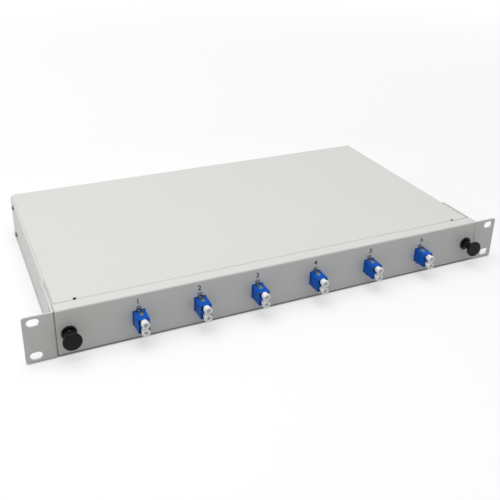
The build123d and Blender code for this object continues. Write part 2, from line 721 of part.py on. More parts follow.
def make_cassette():
    cassette = along_z(cassette_outline(0), cassette_low, cassette_rim)
    cassette -= along_z(cassette_outline(CASSETTE_WALL), cassette_deck, cassette_rim + 1)
    for side in (-1, 1):
        x = side * (CASSETTE_X / 2 - CASSETTE_RADIUS - CASSETTE_ENTRY)
        for way in (-1, 1):
            outside = CASSETTE_CENTRE_Y + way * CASSETTE_Y / 2
            wall = sorted((outside, outside - way * 2 * CASSETTE_WALL))
            entry = (x - CASSETTE_ENTRY / 2, x + CASSETTE_ENTRY / 2)
            cassette -= block(entry, wall, (cassette_deck, cassette_rim + 1))
        drum = Pos(side * DRUM_X, CASSETTE_CENTRE_Y) * (Circle(DRUM_R) - Circle(DRUM_R - CASSETTE_WALL))
        cassette += along_z(drum, cassette_deck, cassette_rim - LID_RIM / 2)
        cassette -= cassette_hole(side, cassette_low - 1, cassette_deck + 1)
    return cassette


def make_lid():
    lid = along_z(cassette_outline(0), cassette_rim + LID_GAP, cassette_rim + LID_GAP + LID_THICK)
    rim = cassette_outline(CASSETTE_WALL + LID_GAP) - cassette_outline(2 * CASSETTE_WALL)
    lid += along_z(rim, cassette_rim + LID_GAP - LID_RIM, cassette_rim + LID_GAP)
    return lid


def make_splice_holder():
    """Comb with one slot for each splice protector."""
    y = CASSETTE_CENTRE_Y + HOLDER_Y
    half = (SPLICE_SLOTS * SPLICE_PITCH + SPLICE_RIB) / 2
    depth = (y - SPLICE_LENGTH / 2, y + SPLICE_LENGTH / 2)
    comb = block((-half, half), depth, (cassette_deck, cassette_deck + SPLICE_BASE))
    for i in range(SPLICE_SLOTS + 1):
        x = -half + i * SPLICE_PITCH
        comb += block((x, x + SPLICE_RIB), depth, (cassette_deck, cassette_deck + SPLICE_RIB_HEIGHT))
    return comb


# Fibre guide: an open ring with tabs that keep spare fibre on a safe radius
def make_fibre_guide(side):
    place = Pos(side * ring_x, ring_y)
    inner = Circle(GUIDE_RING_R - GUIDE_RING_WALL)
    foot_top = tray_top + TRAY_THICK
    ring_top = tray_top + GUIDE_RING_HEIGHT
    ring = along_z(place * (Circle(GUIDE_RING_R) - inner), tray_top, ring_top)
    ring += along_z(place * (Circle(GUIDE_RING_R + GUIDE_RING_FOOT) - inner), tray_top, foot_top)
    half = GUIDE_RING_TAB_WIDTH / 2
    tab_x = (GUIDE_RING_R - GUIDE_RING_WALL / 2, ring_reach)
    tab = block(tab_x, (-half, half), (ring_top - GUIDE_RING_WALL, ring_top))
    for i in range(RING_TABS):
        ring += Pos(side * ring_x, ring_y, 0) * Rot(0, 0, 45 + i * 360 / RING_TABS) * tab
    half_gap = GUIDE_RING_GAP / 2
    gap = block((-half_gap, half_gap), (-ring_reach, ring_reach), (foot_top, ring_top + 1))
    return ring - Pos(side * ring_x, ring_y, 0) * gap


def make_fibre_clip(x, y):
    """Small open saddle clip on the tray floor."""
    half = SADDLE_WIDTH / 2
    outline = [(-SADDLE_MOUTH, SADDLE_HEIGHT), (-half, SADDLE_HEIGHT), (-half, 0)]
    outline += [(half, 0), (half, SADDLE_HEIGHT), (SADDLE_MOUTH, SADDLE_HEIGHT)]
    section = folded([(x + u, tray_top + v) for u, v in outline], SADDLE_WALL, SADDLE_WALL / 2)
    return along_y(section, y - SADDLE_LENGTH / 2, y + SADDLE_LENGTH / 2)


def make_cable_clamp(side):
    """Bridge that holds an incoming cable down on the tray."""
    half = CLAMP_SPAN / 2
    x = side * gland_x
    crown = CLAMP_RISE + CLAMP_THICK
    leg = half - CLAMP_FOOT
    outline = [(-half, 0), (-leg, 0), (-leg, CLAMP_RISE), (leg, CLAMP_RISE), (leg, 0), (half, 0)]
    bridge = folded([(x + u, tray_top + v) for u, v in outline], CLAMP_THICK, 0.5)
    clamp = along_y(bridge, clamp_y - CLAMP_WIDTH / 2, clamp_y + CLAMP_WIDTH / 2)
    for screw_x in clamp_screw_x:
        clamp -= rod_z(side * screw_x, clamp_y, M3_D + 2 * HOLE_CLEARANCE, tray_top - 1, tray_top + crown)
    return clamp


# Cable glands and blanking plugs in the rear panel
def make_gland_body(x):
    y = rear_face
    body = along_y(Pos(x, ENTRY_Z) * hexagon(GLAND_AF), y, y + GLAND_FLANGE)
    body += rod_y(x, ENTRY_Z, GLAND_SPIGOT_D, y + GLAND_FLANGE, y + GLAND_FLANGE + GLAND_SPIGOT)
    body += rod_y(x, ENTRY_Z, GLAND_THREAD_D, y - GLAND_THREAD, y)
    return body - rod_y(x, ENTRY_Z, GLAND_BORE_D, y - GLAND_THREAD - 1, rear + GLAND_FLANGE + GLAND_SPIGOT)


def make_gland_nut(x):
    """Domed cap nut over the gland's spigot."""
    y = rear_face + GLAND_FLANGE + SLIDE_GAP
    end = y + GLAND_NUT_LENGTH
    flat = GLAND_AF / 2
    corner = flat * 2 / sqrt(3)
    nut = along_y(Pos(x, ENTRY_Z) * hexagon(GLAND_AF), y, end)
    mouth = GLAND_MOUTH_D / 2
    dome = [
        (0, y), (corner, y), (corner, y + GLAND_NUT_FLAT), (flat, y + GLAND_NUT_SHOULDER),
        (mouth + GLAND_SEAL_LIP, end), (0, end),
    ]
    nut &= revolved_y(dome, x, ENTRY_Z)
    nut -= rod_y(x, ENTRY_Z, GLAND_SPIGOT_D + 2 * SHAFT_CLEARANCE, y - 1, y + GLAND_SPIGOT)
    return nut - rod_y(x, ENTRY_Z, GLAND_MOUTH_D, y - 1, end + 1)


def make_gland_seal(x):
    y = rear_face + GLAND_FLANGE
    ends = (y - SEAL_SEAT, y + GLAND_NUT_LENGTH - SLIDE_GAP)
    seal = rod_y(x, ENTRY_Z, GLAND_BORE_D - 2 * SHAFT_CLEARANCE, *ends)
    return seal - rod_y(x, ENTRY_Z, SEAL_BORE_D, ends[0] - 1, ends[1] + 1)


def make_lock_nut(x):
    nut = along_y(Pos(x, ENTRY_Z) * hexagon(GLAND_AF), rear_inside - LOCK_NUT, rear_inside)
    bore = GLAND_THREAD_D + 2 * SHAFT_CLEARANCE
    return nut - rod_y(x, ENTRY_Z, bore, rear_inside - LOCK_NUT - 1, rear_inside + 1)


def make_blank_plug(x):
    edge = GLAND_AF / 2
    inner = ENTRY_D / 2 - HOLE_CLEARANCE
    y = rear_face
    head = y + BLANK_PLUG_HEAD
    bevel = BLANK_PLUG_HEAD / 3
    hollow = inner - BLANK_PLUG_WALL
    under = head - BLANK_PLUG_FACE
    end = y - BLANK_PLUG_DEPTH
    outline = [
        (0, head), (edge - bevel, head), (edge, head - bevel), (edge, y),
        (inner, y), (inner, end), (hollow, end), (hollow, under), (0, under),
    ]
    return revolved_y(outline, x, ENTRY_Z)


def main():
    os.makedirs("parts", exist_ok=True)
    signs = (-1, 1)

    save("base_shell", make_base_shell())
    save("top_cover", make_top_cover())
    save("rear_panel", make_rear_panel())
    for hand, bracket in both_sides(make_ear_bracket()).items():
        save(f"ear_bracket_{hand}", bracket)
    screws, nuts = [], []
    for y in EAR_SCREW_Y:
        screws += both_sides(ear_screw(y, 0)).values()
        nuts += both_sides(ear_nut(y)).values()
    save("ear_screws", screws)
    save("ear_nuts", nuts)
    side_screw = []
    for z in (-SIDE_SCREW_Z, SIDE_SCREW_Z):
        screw = Rot(0, 0, 90) * m3_screw(2 * SHELL_THICK + M3_PAST_WALL)
        side_screw += both_sides(Pos(half_shell, side_screw_y, z) * screw).values()
    save("side_screws", side_screw)
    screw = Rot(0, 0, 180) * m3_screw(COVER_THICK + SHELL_THICK + M3_PAST_WALL)
    save("cover_screws", [Pos(x, rear, lip_screw_z) * screw for x in lip_screw_x])
    for hand, plate in both_sides(make_latch_plate()).items():
        save(f"latch_plate_{hand}", plate)
    for hand, channel in both_sides(make_guide_channel()).items():
        save(f"guide_channel_{hand}", channel)
    save("guide_pads", [piece for pad in make_pads() for piece in both_sides(pad).values()])
    save("gland_bodies", [make_gland_body(s * gland_x) for s in signs])
    save("gland_nuts", [make_gland_nut(s * gland_x) for s in signs])
    save("gland_seals", [make_gland_seal(s * gland_x) for s in signs])
    save("gland_lock_nuts", [make_lock_nut(s * gland_x) for s in signs])
    save("blanking_plugs", [make_blank_plug(s * plug_x) for s in signs])

    save("front_panel", make_front_panel())
    save("drawer_tray", make_tray())
    for hand, runner in both_sides(make_runner()).items():
        save(f"runner_{hand}", runner)
    save("runner_shoes", list(both_sides(make_shoe()).values()))
    for hand, grommet in both_sides(make_grommet()).items():
        save(f"latch_grommet_{hand}", grommet)
    for hand, plunger in both_sides(make_plunger()).items():
        save(f"latch_plunger_{hand}", plunger)

    clips, sleeves, screws, nuts, rear_caps = [], [], [], [], []
    for number, x in enumerate(adapter_x, start=1):
        save(f"lc_adapter_{number}", make_adapter(x))
        clips.append(make_clip(x))
        for level, place in zip(port_z, ("upper", "lower")):
            sleeves.append(make_sleeve(x, level))
            save(f"dust_cap_{number}_{place}", make_dust_cap(x, level, front - BODY_OUT, -1))
            rear_caps.append(make_dust_cap(x, level, BODY_BACK, 1))
        for dz in (-FLANGE_HOLE_PITCH / 2, FLANGE_HOLE_PITCH / 2):
            z = PORT_LINE_Z + dz
            length = PANEL_THICK + FLANGE_THICK + SCREW_NUT + SCREW_PAST_NUT
            screws.append(Pos(x, front, z) * pan_screw(SCREW_D, SCREW_HEAD_D, SCREW_HEAD, length))
            nuts.append(adapter_nut(x, z))
    save("adapter_clips", clips)
    save("ferrule_sleeves", sleeves)
    save("adapter_screws", screws)
    save("adapter_nuts", nuts)
    save("rear_dust_caps", rear_caps)

    save("splice_cassette", make_cassette())
    save("cassette_lid", make_lid())
    save("splice_holder", make_splice_holder())
    grip = CASSETTE_FLOOR + TRAY_THICK
    places = [(s * CASSETTE_SCREW_X, CASSETTE_CENTRE_Y) for s in signs]
    save("cassette_screws", [screw_down(x, y, cassette_deck, grip) for x, y in places])
    save("fibre_guides", [make_fibre_guide(s) for s in signs])
    clip_places = [(CLIP_INNER_X, CLIP_FRONT_Y), (half_tray - CLIP_INSET, CLIP_SIDE_Y)]
    save("fibre_clips", [make_fibre_clip(s * x, y) for s in signs for x, y in clip_places])
    save("cable_clamps", [make_cable_clamp(s) for s in signs])
    foot = tray_top + CLAMP_THICK
    grip = CLAMP_THICK + TRAY_THICK
    save("clamp_screws", [screw_down(s * x, clamp_y, foot, grip) for s in signs for x in clamp_screw_x])


main()
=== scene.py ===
from math import cos, pi, radians, sin

import bmesh
import bpy
from mathutils import Matrix, Vector


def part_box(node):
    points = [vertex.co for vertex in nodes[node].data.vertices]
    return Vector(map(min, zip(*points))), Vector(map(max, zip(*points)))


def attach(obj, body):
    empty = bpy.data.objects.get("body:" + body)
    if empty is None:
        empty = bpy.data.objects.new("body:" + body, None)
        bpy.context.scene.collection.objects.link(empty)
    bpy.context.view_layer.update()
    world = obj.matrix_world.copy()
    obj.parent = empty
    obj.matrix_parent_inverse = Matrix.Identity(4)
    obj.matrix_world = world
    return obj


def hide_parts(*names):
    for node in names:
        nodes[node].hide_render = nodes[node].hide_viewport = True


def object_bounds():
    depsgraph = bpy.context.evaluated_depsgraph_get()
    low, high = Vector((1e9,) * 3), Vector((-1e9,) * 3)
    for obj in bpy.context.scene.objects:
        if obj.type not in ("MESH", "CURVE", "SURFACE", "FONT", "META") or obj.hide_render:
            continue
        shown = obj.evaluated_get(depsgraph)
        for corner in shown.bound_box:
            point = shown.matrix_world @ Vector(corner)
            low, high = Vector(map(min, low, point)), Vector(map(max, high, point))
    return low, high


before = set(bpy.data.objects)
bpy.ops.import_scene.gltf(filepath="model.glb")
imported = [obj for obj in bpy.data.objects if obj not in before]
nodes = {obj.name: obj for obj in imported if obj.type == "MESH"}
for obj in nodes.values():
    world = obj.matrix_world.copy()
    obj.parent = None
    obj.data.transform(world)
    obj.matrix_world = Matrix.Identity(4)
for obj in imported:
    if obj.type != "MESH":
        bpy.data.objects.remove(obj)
cad_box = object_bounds()


# Camera: it stands to the left of the front and above it, and looks down on the cover.
# Its place and aim were solved from the corners of the box as the photograph shows them.
CAMERA_PLACE = (-0.28077, -0.50949, 0.34589)
CAMERA_RIGHT = (0.90813, -0.41817, 0.02079)
CAMERA_DOWN = (-0.15564, -0.38326, -0.91043)
CAMERA_AHEAD = (0.38869, 0.82355, -0.41314)
LENS_MM = 51.788
SENSOR_MM = 36.0
SHIFT = (-0.0052, -0.1001)
NEAREST, FARTHEST = 0.01, 20

camera = bpy.data.objects.new("camera", bpy.data.cameras.new("camera"))
bpy.context.scene.collection.objects.link(camera)
bpy.context.scene.camera = camera
camera.data.lens = LENS_MM
camera.data.sensor_width = SENSOR_MM
camera.data.shift_x, camera.data.shift_y = SHIFT
camera.data.clip_start, camera.data.clip_end = NEAREST, FARTHEST
turn = Matrix((CAMERA_RIGHT, [-v for v in CAMERA_DOWN], [-v for v in CAMERA_AHEAD])).transposed()
camera.matrix_world = Matrix.Translation(CAMERA_PLACE) @ turn.to_4x4()


# Floor: plain white paper under the box, which takes only its soft shadow. Its glow is for the
# camera, gloss and glass, so the background is white and no light is added. The glow grows where
# the lamps reach less. An occlusion mask takes the glow away close to the box, which paints a dark
# contact shadow along its foot and in the narrow gap under it.
MM = 0.001
FLOOR_HALF = 4.0
FLOOR_WHITE = "#BABABA"
FLOOR_GLOW = 0.5
FAR_GLOW = 0.85
NEAR_RING, FAR_RING = 0.5, 2.5
CONTACT_SHADOW_REACH_MM = 2
CONTACT_SHADOW_POWER = 2.5


def rgb(code):
    """Linear colour from an sRGB hex value."""
    parts = [int(code[i:i + 2], 16) / 255 for i in (1, 3, 5)]
    return (*[c / 12.92 if c <= 0.04045 else ((c + 0.055) / 1.055) ** 2.4 for c in parts], 1.0)


def add(tree, kind, values=None, links=None, **settings):
    """Add a node with its settings, the values of its sockets and what feeds them."""
    node = tree.nodes.new(kind)
    for name, value in settings.items():
        setattr(node, name, value)
    for name, value in (values or {}).items():
        node.inputs[name].default_value = value
    for name, source in (links or {}).items():
        tree.links.new(node.inputs[name], source)
    return node


def new_piece(name, bm, material=None):
    """Turn a bmesh into a smooth-shaded object at the origin."""
    mesh = bpy.data.meshes.new(name)
    bm.to_mesh(mesh)
    bm.free()
    mesh.shade_smooth()
    piece = bpy.data.objects.new(name, mesh)
    bpy.context.scene.collection.objects.link(piece)
    if material:
        mesh.materials.append(material)
    return piece


floor_bm = bmesh.new()
bmesh.ops.create_grid(floor_bm, x_segments=1, y_segments=1, size=FLOOR_HALF)
bmesh.ops.translate(floor_bm, verts=floor_bm.verts, vec=(0, 0, cad_box[0].z))
studio_floor = bpy.data.materials.new("studio_floor")
studio_floor.use_nodes = True
tree = studio_floor.node_tree
tree.nodes.clear()
ray = add(tree, "ShaderNodeLightPath")
seen = add(tree, "ShaderNodeMath",
           links={0: ray.outputs["Is Camera Ray"], 1: ray.outputs["Is Glossy Ray"]})
seen = add(tree, "ShaderNodeMath",
           links={0: seen.outputs[0], 1: ray.outputs["Is Transmission Ray"]}, use_clamp=True)
where = add(tree, "ShaderNodeTexCoord")
reach = add(tree, "ShaderNodeVectorMath", links={0: where.outputs["Object"]}, operation="LENGTH")
ring = add(tree, "ShaderNodeMapRange",
           {"From Min": NEAR_RING, "From Max": FAR_RING, "To Min": FLOOR_GLOW, "To Max": FAR_GLOW},
           {"Value": reach.outputs["Value"]})
# Painted contact shadow: occlusion within a few millimetres of the box dims the floor's glow there.
painted_contact_shadow = add(tree, "ShaderNodeAmbientOcclusion", {"Distance": CONTACT_SHADOW_REACH_MM * MM})
painted_contact_shadow = add(tree, "ShaderNodeMath", {1: CONTACT_SHADOW_POWER}, {0: painted_contact_shadow.outputs["AO"]}, operation="POWER")
glow = add(tree, "ShaderNodeMath",
           links={0: ring.outputs[0], 1: painted_contact_shadow.outputs[0]}, operation="MULTIPLY")
glow = add(tree, "ShaderNodeMath",
           links={0: glow.outputs[0], 1: seen.outputs[0]}, operation="MULTIPLY")
white = add(tree, "ShaderNodeEmission", links={"Strength": glow.outputs[0]})
matt = add(tree, "ShaderNodeBsdfDiffuse", {"Color": rgb(FLOOR_WHITE)})
both = add(tree, "ShaderNodeAddShader", links={0: matt.outputs[0], 1: white.outputs[0]})
add(tree, "ShaderNodeOutputMaterial", links={"Surface": both.outputs[0]})
floor = new_piece("floor", floor_bm, studio_floor)


# Base shell: one folded sheet of 1.2 mm steel that makes the floor, both side walls and the narrow
# returns the cover lies on. Polyester powder coat gives it a matt light grey with a fine grain.
COAT_GREY = "#D5D5D2"
COAT_LIGHTER = "#D9D9D6"
COAT_GRAIN_MM = 0.9
COAT_GRAIN_DEPTH_MM = 0.02
COAT_CLOUD_MM = 90
COAT_EDGE_MM = 0.25
SAME_POINT = 0.001 * MM
FLAT_ANGLE = radians(1)
EDGE_ANGLE = radians(32)
SHORT_EDGE_MM = 0.6


def finish(name, roughness, metallic=0.0, specular=0.5):
    """A new material with a plain principled shader, which the caller then feeds."""
    material = bpy.data.materials.new(name)
    material.use_nodes = True
    shader = material.node_tree.nodes["Principled BSDF"]
    shader.inputs["Roughness"].default_value = roughness
    shader.inputs["Metallic"].default_value = metallic
    shader.inputs["Specular IOR Level"].default_value = specular
    return material, material.node_tree, shader


def grained(tree, shader, colours, grain_mm, depth_mm, cloud_mm, stretch=(1, 1, 1)):
    """Colour that drifts between two tones over cloud_mm, and a bump of grains grain_mm wide.
    Returns the pattern of the grains."""
    where = add(tree, "ShaderNodeTexCoord")
    laid = add(tree, "ShaderNodeMapping", {"Scale": stretch}, {"Vector": where.outputs["Object"]})
    cloud = add(tree, "ShaderNodeTexNoise", {"Scale": 1 / (cloud_mm * MM), "Detail": 3.0},
                {"Vector": where.outputs["Object"]})
    tones = add(tree, "ShaderNodeMix", {6: rgb(colours[0]), 7: rgb(colours[1])},
                {0: cloud.outputs["Fac"]}, data_type="RGBA")
    tree.links.new(shader.inputs["Base Color"], tones.outputs[2])
    grain = add(tree, "ShaderNodeTexNoise", {"Scale": 1 / (grain_mm * MM), "Detail": 2.0},
                {"Vector": laid.outputs["Vector"]})
    bump = add(tree, "ShaderNodeBump", {"Strength": 1.0, "Distance": depth_mm * MM},
               {"Height": grain.outputs["Fac"]})
    tree.links.new(shader.inputs["Normal"], bump.outputs["Normal"])
    return grain.outputs["Fac"]


def vary_roughness(tree, shader, pattern, low, high):
    """Let the roughness follow a pattern between two levels."""
    level = add(tree, "ShaderNodeMapRange", {"To Min": low, "To Max": high}, {"Value": pattern})
    tree.links.new(shader.inputs["Roughness"], level.outputs[0])


def soften(piece, width_mm, segments=2, limit="ANGLE"):
    """Round the sharp edges of a piece and keep its flats flat to the eye."""
    bevel = piece.modifiers.new("edges", "BEVEL")
    bevel.width = width_mm * MM
    bevel.segments = segments
    bevel.limit_method = limit
    bevel.angle_limit = EDGE_ANGLE
    bevel.use_clamp_overlap = False
    even = piece.modifiers.new("even_flats", "WEIGHTED_NORMAL")
    even.keep_sharp = True
    return piece


def settle(piece, slot, body, *stands_for):
    """Put a piece in its body, and hide the CAD nodes it stands for. The slot is not used."""
    if stands_for:
        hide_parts(*stands_for)
    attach(piece, body)
    return piece


def dressed_copy(node, material, slot, body, edge_mm):
    """A copy of a CAD node with clean faces and rounded edges. The short steps of an arc stay
    crisp, because a rounding wider than they are would tear them."""
    bm = bmesh.new()
    bm.from_mesh(nodes[node].data)
    bmesh.ops.remove_doubles(bm, verts=bm.verts, dist=SAME_POINT)
    bmesh.ops.dissolve_limit(bm, angle_limit=FLAT_ANGLE, verts=bm.verts, edges=bm.edges)
    rounded = bm.edges.layers.float.new("bevel_weight_edge")
    for edge in bm.edges:
        if edge.calc_face_angle(0) > EDGE_ANGLE:
            edge[rounded] = float(edge.calc_length() > SHORT_EDGE_MM * MM)
            edge.smooth = bool(edge[rounded])
    piece = soften(new_piece(node + "_made", bm, material), edge_mm, limit="WEIGHT")
    return settle(piece, slot, body, node)


def coated_sheet(node, body):
    """A folded sheet in grey powder coat, whose edges the coat leaves a little round."""
    dressed_copy(node, powder_coat, "grey_powder_coat", body, COAT_EDGE_MM)


powder_coat, tree, shader = finish("polyester_powder_coat", roughness=0.48)
grain = grained(tree, shader, (COAT_GREY, COAT_LIGHTER), COAT_GRAIN_MM, COAT_GRAIN_DEPTH_MM,
                COAT_CLOUD_MM)
vary_roughness(tree, shader, grain, low=0.42, high=0.56)
coated_sheet("base_shell", "housing")


# Top cover: a 1.5 mm steel sheet with a lip folded down at the rear, and a front lip between two
# small relief notches. It lies on the returns of the side walls, and screws through the rear lip
# hold it to the rear panel.
coated_sheet("top_cover", "housing")


# Rear panel: a coated sheet punched for the cable glands and plugs. It stands between the side
# walls on flanges folded forwards, and a screw low and high on each side holds it.
coated_sheet("rear_panel", "housing")


# Rack ears: L-shaped brackets of 1.5 mm steel in the same coat, each with two slots for the bolts
# of the rack. The leg of each lies on the side wall, and two countersunk screws hold it there.
for hand in ("left", "right"):
    coated_sheet(f"ear_bracket_{hand}", "housing")


# Front panel and drawer tray: the panel is 1.5 mm steel, folded back at its top and bottom, with
# windows for the adapters and holes for the latches. The tray is a thinner sheet with low walls,
# and two tabs at its front fix it to the panel. Both have the grey coat.
for sheet in ("front_panel", "drawer_tray"):
    coated_sheet(sheet, "drawer")


# Guide channels, latch plates and runners: cold-rolled strip, bright zinc plated after folding. The
# drawer's runners slide in the channels on the side walls, and the latches spread behind the
# plates. The zinc is a soft silver with rolling marks along the strip and a faint blue cast.
ZINC = ("#C3C7CB", "#AEB4BA")
ROLLING_MM = 0.4
ROLLING_DEPTH_MM = 0.004
ROLLING_CLOUD_MM = 14
ALONG_STRIP = (1, 0.06, 1)
STRIP_EDGE_MM = 0.15

zinc_plate, tree, shader = finish("bright_zinc_plate", roughness=0.34, metallic=1.0)
grain = grained(tree, shader, ZINC, ROLLING_MM, ROLLING_DEPTH_MM, ROLLING_CLOUD_MM, ALONG_STRIP)
vary_roughness(tree, shader, grain, low=0.28, high=0.42)
for strip, body in (("guide_channel", "housing"), ("latch_plate", "housing"), ("runner", "drawer")):
    for hand in ("left", "right"):
        dressed_copy(f"{strip}_{hand}", zinc_plate, "zinc_steel", body, STRIP_EDGE_MM)


# Nuts: press nuts behind the side walls for the ear screws, and hexagon nuts behind the flanges of
# the adapters. They are steel with the same zinc plate.
def dress(material, *names):
    """Give CAD nodes their finish."""
    for name in names:
        mesh = nodes[name].data
        mesh.materials.clear()
        mesh.materials.append(material)


dress(zinc_plate, "ear_nuts", "adapter_nuts")


# Pan-head screws: zinc-plated steel, polished by the plating barrel, with a cross recess punched in
# the head. They hold the adapters, the rear corners, the cover, the cassette and the cable clamps.
BARREL_ZINC = ("#8F9398", "#82868B")
SCREW_EDGE_MM = 0.06
LATHE_STEPS = 48
RECESS_SHARE = 0.52
RECESS_WIDTH_SHARE = 0.17
RECESS_DEPTH_SHARE = 0.6
RECESS_TAPER = (0.45, 1, 0.7)
RECESS_TURNS = (pi / 4, 3 * pi / 4)
CROWN_ANGLES = (0, 0.35, 0.65, 0.9, 1.15, 1.35)
CROWN_RISE = 0.32
HEAD_SKIRT = 0.4
M2_PAN = {"head": 4.7, "thick": 1.5, "shank": 2.0}
M3_PAN = {"head": 5.6, "thick": 2.2, "shank": 3.0}

screw_zinc, tree, shader = finish("barrel_zinc_plated_screw", roughness=0.2, metallic=1.0)
grained(tree, shader, BARREL_ZINC, grain_mm=0.3, depth_mm=0.002, cloud_mm=3)


def lathe(outline, steps=LATHE_STEPS):
    """Spin (radius, y) points in millimetres about the Y axis and close the ends."""
    bm = bmesh.new()
    ring = [bm.verts.new((r * MM, y * MM, 0)) for r, y in outline]
    edges = [bm.edges.new(pair) for pair in zip(ring, ring[1:])]
    bmesh.ops.spin(bm, geom=ring + edges, cent=(0, 0, 0), axis=(0, 1, 0), angle=2 * pi,
                   steps=steps, use_merge=True)
    bmesh.ops.remove_doubles(bm, verts=bm.verts, dist=SAME_POINT)
    bmesh.ops.recalc_face_normals(bm, faces=bm.faces)
    return bm


def cut(piece, tool_bm):
    """Cut a shape out of a piece for good."""
    tool = new_piece("cutter", tool_bm)
    carve = piece.modifiers.new("carve", "BOOLEAN")
    carve.object = tool
    carve.solver = "EXACT"
    result = piece.evaluated_get(bpy.context.evaluated_depsgraph_get())
    carved = bpy.data.meshes.new_from_object(result)
    piece.modifiers.remove(carve)
    piece.data = carved
    bpy.data.objects.remove(tool)


def screw_mesh(outline, head_mm, head_y_mm):
    """One screw along Y with its head towards -Y, and a cross recess in the head."""
    screw = new_piece("screw", lathe(outline), screw_zinc)
    size = [head_mm * share * MM
            for share in (RECESS_SHARE, RECESS_DEPTH_SHARE, RECESS_WIDTH_SHARE)]
    for turned in RECESS_TURNS:
        arm = bmesh.new()
        bmesh.ops.create_cube(arm, size=1)
        bmesh.ops.scale(arm, vec=size, verts=arm.verts)
        bmesh.ops.scale(arm, vec=RECESS_TAPER, verts=[v for v in arm.verts if v.co.y > 0])
        bmesh.ops.rotate(arm, cent=(0, 0, 0), matrix=Matrix.Rotation(turned, 3, "Y"),
                         verts=arm.verts)
        bmesh.ops.translate(arm, vec=(0, head_y_mm * MM, 0), verts=arm.verts)
        cut(screw, arm)
    mesh = screw.data
    bpy.data.objects.remove(screw)
    return mesh


def set_out(name, mesh, places):
    """Join copies of a mesh, one for each placing matrix, into one piece."""
    bm = bmesh.new()
    for place in places:
        start = len(bm.verts)
        bm.from_mesh(mesh)
        bm.verts.ensure_lookup_table()
        bmesh.ops.transform(bm, matrix=place, verts=bm.verts[start:])
    return new_piece(name, bm, mesh.materials[0])


def separate_boxes(name):
    """Lowest and highest corners of each loose solid of a CAD node."""
    bm = bmesh.new()
    bm.from_mesh(nodes[name].data)
    bmesh.ops.remove_doubles(bm, verts=bm.verts, dist=SAME_POINT)
    boxes, left = [], set(bm.verts)
    while left:
        found, queue = set(), [left.pop()]
        while queue:
            vert = queue.pop()
            found.add(vert)
            near = {edge.other_vert(vert) for edge in vert.link_edges} & left
            left -= near
            queue += near
        low = Vector(min(v.co[i] for v in found) for i in range(3))
        high = Vector(max(v.co[i] for v in found) for i in range(3))
        boxes.append((low, high))
    bm.free()
    return boxes


def pan_outline(head, thick, shank, length):
    """Outline of a pan-head screw: its seat is at y = 0 and its shank runs to +Y."""
    edge = head / 2
    crown = [(edge * sin(a), -thick + edge * CROWN_RISE * (1 - cos(a))) for a in CROWN_ANGLES]
    skirt = [(edge, -thick * HEAD_SKIRT), (edge, 0)]
    return crown + skirt + [(shank / 2, 0), (shank / 2, length), (0, length)]


def aimed(way):
    """Rotation that points a screw modelled along +Y the given way."""
    return Vector((0, 1, 0)).rotation_difference(Vector(way)).to_matrix().to_4x4()


def inwards(middle):
    """Way from a side wall into the box, for a screw in that wall."""
    return (-1 if middle.x > 0 else 1, 0, 0)


def pan_screws(node, way, body, head, thick, shank):
    """Replace a node's pan-head screws. way points from the head along the shank, or is a function
    of the middle of each screw that gives it."""
    places = []
    for low, high in separate_boxes(node):
        middle = (low + high) / 2
        aim = Vector(way(middle) if callable(way) else way)
        reach = abs((high - low).dot(aim))
        seat = middle - aim * (reach / 2 - thick * MM)
        places.append(Matrix.Translation(seat) @ aimed(aim))
    mesh = screw_mesh(pan_outline(head, thick, shank, reach / MM - thick), head, -thick)
    screws = soften(set_out(node + "_made", mesh, places), SCREW_EDGE_MM)
    settle(screws, "zinc_steel", body, node)


pan_screws("adapter_screws", (0, 1, 0), "drawer", **M2_PAN)
pan_screws("side_screws", inwards, "housing", **M3_PAN)
pan_screws("cover_screws", (0, -1, 0), "housing", **M3_PAN)
pan_screws("cassette_screws", (0, 0, -1), "drawer", **M3_PAN)
pan_screws("clamp_screws", (0, 0, -1), "drawer", **M3_PAN)


# Ear screws: countersunk steel screws with the same plate and recess. They sit flush in the legs of
# the ears and go through the side walls into the press nuts.
FLUSH_HEAD_MM = 7.4
FLUSH_OUTLINE = ((0, 0), (3.85, 0), (3.95, 0.1), (2.0, 1.4), (2.0, 8.7), (0, 8.7))

flush_places = []
for low, high in separate_boxes("ear_screws"):
    middle = (low + high) / 2
    flush = Vector((high.x if middle.x > 0 else low.x, middle.y, middle.z))
    flush_places.append(Matrix.Translation(flush) @ aimed(inwards(middle)))
ear_screws = set_out("ear_screws_made", screw_mesh(FLUSH_OUTLINE, FLUSH_HEAD_MM, 0), flush_places)
settle(soften(ear_screws, SCREW_EDGE_MM), "zinc_steel", "housing", "ear_screws")


# Cable glands and blanking plugs: moulded black nylon in the rear panel. Each gland is a hexagon
# body with a domed cap nut outside and a lock nut inside the sheet. The plugs snap into the two
# spare holes.
NYLON = ("#151517", "#1B1B1E")
NYLON_EDGE_MM = 0.4

black_nylon, tree, shader = finish("black_moulded_nylon", roughness=0.4, specular=0.3)
grained(tree, shader, NYLON, grain_mm=0.35, depth_mm=0.01, cloud_mm=12)
for moulding in ("gland_bodies", "gland_nuts", "gland_lock_nuts", "blanking_plugs"):
    dressed_copy(moulding, black_nylon, "black_nylon", "housing", NYLON_EDGE_MM)


# Cable clamps: bridges of the same black nylon, which hold the incoming cables down on the tray.
# A screw at each end holds them.
dressed_copy("cable_clamps", black_nylon, "black_nylon", "drawer", NYLON_EDGE_MM)


# Gland seals: rings of moulded neoprene, dull and soft, inside the cap nuts. The nut presses each
# one round its cable.
SEAL_BLACK = ("#1C1C1C", "#262626")

seal_rubber, tree, shader = finish("neoprene_rubber", roughness=0.7)
grained(tree, shader, SEAL_BLACK, grain_mm=0.3, depth_mm=0.01, cloud_mm=8)
dressed_copy("gland_seals", seal_rubber, "seal_rubber", "housing", NYLON_EDGE_MM)


